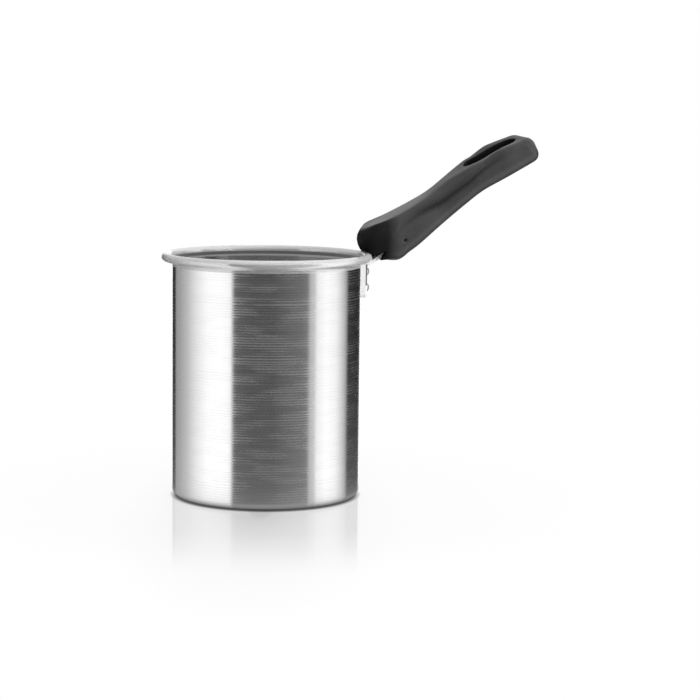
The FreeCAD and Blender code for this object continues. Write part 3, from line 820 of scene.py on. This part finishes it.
# From here on in millimetres. Along the handle: how far out, height of the top, half width,
# depth of the valley's line below the top, how deep the valley is, how square the edge is,
# how far the top sinks.
MOULDING = [
    (50.0, 140.8, 12.0, 1.0, 0.0, 2.0, 0.0),
    (54.5, 143.2, 12.4, 1.0, 0.0, 2.5, 0.1),
    (58.5, 145.2, 13.3, 1.0, 0.0, 4.5, 0.5),
    (62.5, 147.3, 13.9, 1.4, 0.0, 6.0, 0.8),
    (66.5, 149.3, 13.8, 9.0, 0.25, 6.0, 0.8),
    (70.5, 151.4, 13.3, 6.6, 0.45, 5.5, 0.8),
    (74.5, 153.4, 12.8, 6.1, 0.7, 5.0, 0.7),
    (78.5, 155.5, 12.3, 5.6, 0.9, 4.5, 0.5),
    (82.5, 157.6, 11.8, 5.6, 1.1, 4.0, 0.2),
    (86.5, 159.7, 11.3, 5.8, 1.2, 3.6, -0.1),
    (90.5, 162.2, 10.9, 6.2, 1.25, 3.4, -0.3),
    (94.5, 165.2, 10.7, 6.4, 1.25, 3.3, -0.3),
    (98.5, 168.5, 10.8, 6.5, 1.25, 3.3, -0.2),
    (102.5, 171.8, 11.1, 6.7, 1.2, 3.4, 0.0),
    (106.5, 175.0, 11.6, 6.9, 1.15, 3.7, 0.3),
    (110.5, 178.3, 12.1, 6.6, 1.05, 4.2, 0.7),
    (114.5, 181.2, 12.6, 6.25, 0.95, 4.4, 1.4),
    (118.5, 183.6, 13.1, 5.9, 0.75, 4.6, 1.5),
    (122.5, 185.5, 13.6, 5.6, 0.5, 5.0, 1.2),
    (126.5, 187.2, 14.0, 5.3, 0.25, 5.5, 0.7),
    (130.5, 188.8, 14.0, 4.0, 0.0, 5.0, 0.6),
    (134.5, 190.4, 13.9, 3.8, 0.0, 4.0, 0.4),
    (138.5, 191.6, 13.7, 3.6, 0.0, 2.8, 0.2),
    (142.5, 191.6, 13.4, 3.2, 0.0, 2.2, 0.0),
    (149.0, 188.0, 11.0, 3.0, 0.0, 2.0, 0.0),
]
EDGE = 6.5
EDGE_SKIN = 1.0
SQUARE_ACROSS = (3.0, 9.0)
HEEL_CENTRE = 63.3
HEEL_RADIUS = 13.9
# the dish round the slot, and the lean of the top out there
DISH_ALONG = (115.0, 124.0)
DISH_ACROSS = (5.5, 10.5)
TOP_LEAN = 0.1
LEAN_STARTS = (98.0, 112.0)
LEAN_ENDS = (146.0, 136.0)
LEAN_DEPTH = (9.0, 0.0)
LEAN_HINGE = 9.0
LEAN_LIMIT = -10.0
# the valley along each side
VALLEY_SKIN = 1.6
VALLEY_ABOVE = 1.1
VALLEY_BELOW = 2.4
VALLEY_SHADE_UP = 0.2
VALLEY_SHADE_WIDTH = 2.0
# the hanging slot
SLOT_MIDDLE = (125.7, 176.0)
SLOT_ALONG = (0.879, 0.477)
SLOT_STRAIGHT = 10.5
SLOT_RADIUS = 5.0
SLOT_MOUTH = 1.6
MOUTH_INSIDE = -0.8
MOUTH_CORNER = 0.7
# the heel's front and nose, the knee under the pin, and the slant of the tip
FRONT_ALONG = (63.0, 57.0)
HEEL_DROP = 1.7
HEEL_DEPTH = (7.0, 10.5)
NOSE_OUT = 1.75
NOSE_DEPTH = 7.8
NOSE_SPREAD = 4.6
KNEE_PLACE = 74.5
KNEE_SPREAD = 4.5
KNEE_UP = 0.9
KNEE_DEPTH = (16.0, 21.0)
TIP_BACK = 0.9
TIP_ALONG = (138.0, 145.0)
TIP_RISE = (177.0, 185.0)
# where the moulding is made dull and dark, and how much: in the valley, the slot and at the tip
# this is painted shade
VALLEY_PAINTED_SHADE = 0.62
DULL_HEEL = 0.84
DULL_HEEL_MORE = 0.14
TIP_SHADE = 0.55
DULL_TOP = 0.22
DULL_HEEL_ALONG = (69.5, 62.5)
DULL_HEEL_DEPTH = (0.1, 1.0)
DULL_HEEL_LOWER = (4.0, 10.0)
TIP_SHADE_ALONG = (145.3, 146.8)
DULL_TOP_ALONG = (84.0, 92.0)
DULL_TOP_DEPTH = (2.0, 0.0)
SLOT_SHADE_EDGE = (1.2, 0.4)


def along_handle(x):
    """The row of the moulding at this place, and the slope of the top there."""
    for here, after in zip(MOULDING, MOULDING[1:]):
        if x <= after[0] or after is MOULDING[-1]:
            share = min(max((x - here[0]) / (after[0] - here[0]), 0.0), 1.0)
            slope = math.atan2(after[1] - here[1], after[0] - here[0])
            return [u + (v - u) * share for u, v in zip(here[1:], after[1:])] + [slope]


def part_way(value, start, end):
    """How far the value has come from start to end, from 0 to 1."""
    return min(max((value - start) / (end - start), 0.0), 1.0)


def hill(value, middle, width):
    """1 in the middle, and next to nothing two widths away."""
    return math.exp(-((value - middle) / width) ** 2)


def away_from_middle(x, y, half):
    """The way out in plan, round the heel or straight across, and how far inside it lies."""
    if x >= HEEL_CENTRE:
        return 0.0, math.copysign(1.0, y), half - abs(y)
    out_x, out_y = x - HEEL_CENTRE, y
    reach = math.hypot(out_x, out_y)
    if reach > 0:
        out_x, out_y = out_x / reach, out_y / reach
    return out_x, out_y, HEEL_RADIUS - reach


def shaped(x, y, z):
    """Where a point of the model's handle goes, and how dull and dark the moulding is made there,
    painted shade included.
    """
    top, half, line, valley, square, sink, slope = along_handle(x)
    depth = (top - z) * math.cos(slope)
    out_x, out_y, inset = away_from_middle(x, y, half)
    aside = 0.0
    lift = 0.0
    moved_x, moved_y, moved_z = 0.0, 0.0, 0.0

    # the model's long edges are round; the moulding's are firmer
    if inset < EDGE and depth < EDGE:
        u, v = EDGE - inset, EDGE - depth
        length = math.hypot(u, v)
        if abs(length - EDGE) < EDGE_SKIN:
            power = 2 + (square - 2) * part_way(abs(y), *SQUARE_ACROSS)
            stretch_by = ((u / length) ** power + (v / length) ** power) ** (-1 / power) - 1
            aside += u * stretch_by
            lift += v * stretch_by
    # the flat top is sunken, but round the slot it is dished, so its two sides keep their height
    if depth < EDGE:
        dish = 1 - part_way(x, *DISH_ALONG) * part_way(abs(y), *DISH_ACROSS)
        lift -= sink * dish * (1 - max(depth, 0.0) / EDGE)
    # out at the slot the top leans a little to one side
    lean = TOP_LEAN * part_way(x, *LEAN_STARTS) * part_way(x, *LEAN_ENDS)
    lean *= part_way(depth, *LEAN_DEPTH)
    lift += lean * (min(max(y, LEAN_LIMIT), LEAN_HINGE) - LEAN_HINGE)
    # the valley, pushed in along its line, with painted shade darkest a little above the line
    valley_shade = 0.0
    if valley and inset < VALLEY_SKIN:
        aside -= valley * hill(depth, line, VALLEY_ABOVE if depth < line else VALLEY_BELOW)
        valley_shade = hill(depth, line - VALLEY_SHADE_UP, VALLEY_SHADE_WIDTH)
        valley_shade *= VALLEY_PAINTED_SHADE * valley

    # the slot's mouth is rounded: what lies near its edge goes round a quarter of a circle
    s_along = (x - SLOT_MIDDLE[0]) * SLOT_ALONG[0] + (z - SLOT_MIDDLE[1]) * SLOT_ALONG[1]
    over = math.copysign(max(abs(s_along) - SLOT_STRAIGHT, 0.0), s_along)
    ring = math.hypot(over, y)
    edge = ring - SLOT_RADIUS
    near_mouth = MOUTH_INSIDE < edge < SLOT_MOUTH and depth < SLOT_MOUTH
    if ring > 0 and near_mouth and min(edge, depth) < MOUTH_CORNER:
        path = edge if edge > depth else -depth
        bend = (path + SLOT_MOUTH) / (2 * SLOT_MOUTH) * math.pi / 2
        wide = SLOT_MOUTH * (1 - math.cos(bend)) - edge
        moved_x = over / ring * wide * SLOT_ALONG[0]
        moved_z = over / ring * wide * SLOT_ALONG[1]
        moved_y = y / ring * wide
        lift -= SLOT_MOUTH * (1 - math.sin(bend)) - depth

    # the heel hangs a little lower in front of the tang and is rounder below the pin
    front = part_way(x, *FRONT_ALONG)
    moved_z -= HEEL_DROP * front * part_way(depth, *HEEL_DEPTH)
    moved_x -= NOSE_OUT * front * hill(depth, NOSE_DEPTH, NOSE_SPREAD)
    moved_z += KNEE_UP * hill(x, KNEE_PLACE, KNEE_SPREAD) * part_way(depth, *KNEE_DEPTH)
    # the tip slants back towards its top
    moved_x -= TIP_BACK * part_way(x, *TIP_ALONG) * part_way(z, *TIP_RISE)

    # the end of the heel is made dull and dark, more so lower down, and so is a little of the
    # top; the far end of the tip and the whole slot are painted dark as shade
    heel = part_way(x, *DULL_HEEL_ALONG) * part_way(depth, *DULL_HEEL_DEPTH)
    heel *= DULL_HEEL + DULL_HEEL_MORE * part_way(depth, *DULL_HEEL_LOWER)
    tip = TIP_SHADE * part_way(x, *TIP_SHADE_ALONG)
    flat_top = DULL_TOP * part_way(x, *DULL_TOP_ALONG) * part_way(depth, *DULL_TOP_DEPTH)
    slot_shade = part_way(edge, *SLOT_SHADE_EDGE)
    spot = (
        x + out_x * aside - math.sin(slope) * lift + moved_x,
        y + out_y * aside + moved_y,
        z + math.cos(slope) * lift + moved_z,
    )
    return spot, max(valley_shade, heel, tip, flat_top, slot_shade)


dull_and_shade = grip.data.attributes.new("dull", "FLOAT", "POINT")
for vertex in grip.data.vertices:
    spot, dull = shaped(*(value * 1000 for value in vertex.co))
    vertex.co = [value / 1000 for value in spot]
    dull_and_shade.data[vertex.index].value = dull
relax = grip.modifiers.new("worn_round", "SMOOTH")
relax.factor = 0.5
relax.iterations = SMOOTHINGS
keep_result(grip)

phenolic, tree = new_material("black_phenolic")
own = own_place(tree)
flow = fine_noise(tree, own, 60, 4)
speckle = fine_noise(tree, own, 1500, 2)
mottled = maths(tree, "DIVIDE", maths(tree, "ADD", flow, speckle), 2.0)
blackness = spread(tree, mottled, 0.1, 0.9)
plastic = add(tree, "ShaderNodeBsdfPrincipled", {
    "Base Color": tint(tree, blackness, (0.006, 0.006, 0.006), (0.092, 0.092, 0.094)),
    "Roughness": spread(tree, mottled, 0.30, 0.46),
    "Specular IOR Level": 0.40,
    "Normal": bumped(tree, speckle, 0.3, 0.00006),
})
# where the dull layer says so, the plastic gives way to soot black: painted shade in the valley,
# the slot and at the tip, and a dark matt face on the heel and a little of the top
soot = add(tree, "ShaderNodeBsdfDiffuse", {"Color": grey(0.012)})
held = add(tree, "ShaderNodeAttribute", attribute_name="dull").outputs["Fac"]
add(tree, "ShaderNodeOutputMaterial", {"Surface": mixed(tree, held, plastic, soot)})
grip.data.materials.append(phenolic)
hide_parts("handle_grip")
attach(grip, "root")


# Cross pin
# A plain steel rod through the handle and both sides of the tang, a little below the
# surface of the moulding. Only its dull ends show.
pin_steel, tree = new_material("pin_steel")
stains = fine_noise(tree, own_place(tree), 1400, 3)
metal = add(tree, "ShaderNodeBsdfPrincipled", {
    "Metallic": 1,
    "Base Color": tint(tree, stains, (0.03, 0.03, 0.03), (0.10, 0.10, 0.10)),
    "Roughness": spread(tree, stains, 0.40, 0.60),
})
add(tree, "ShaderNodeOutputMaterial", {"Surface": metal})
dress_node("handle_pin", pin_steel)
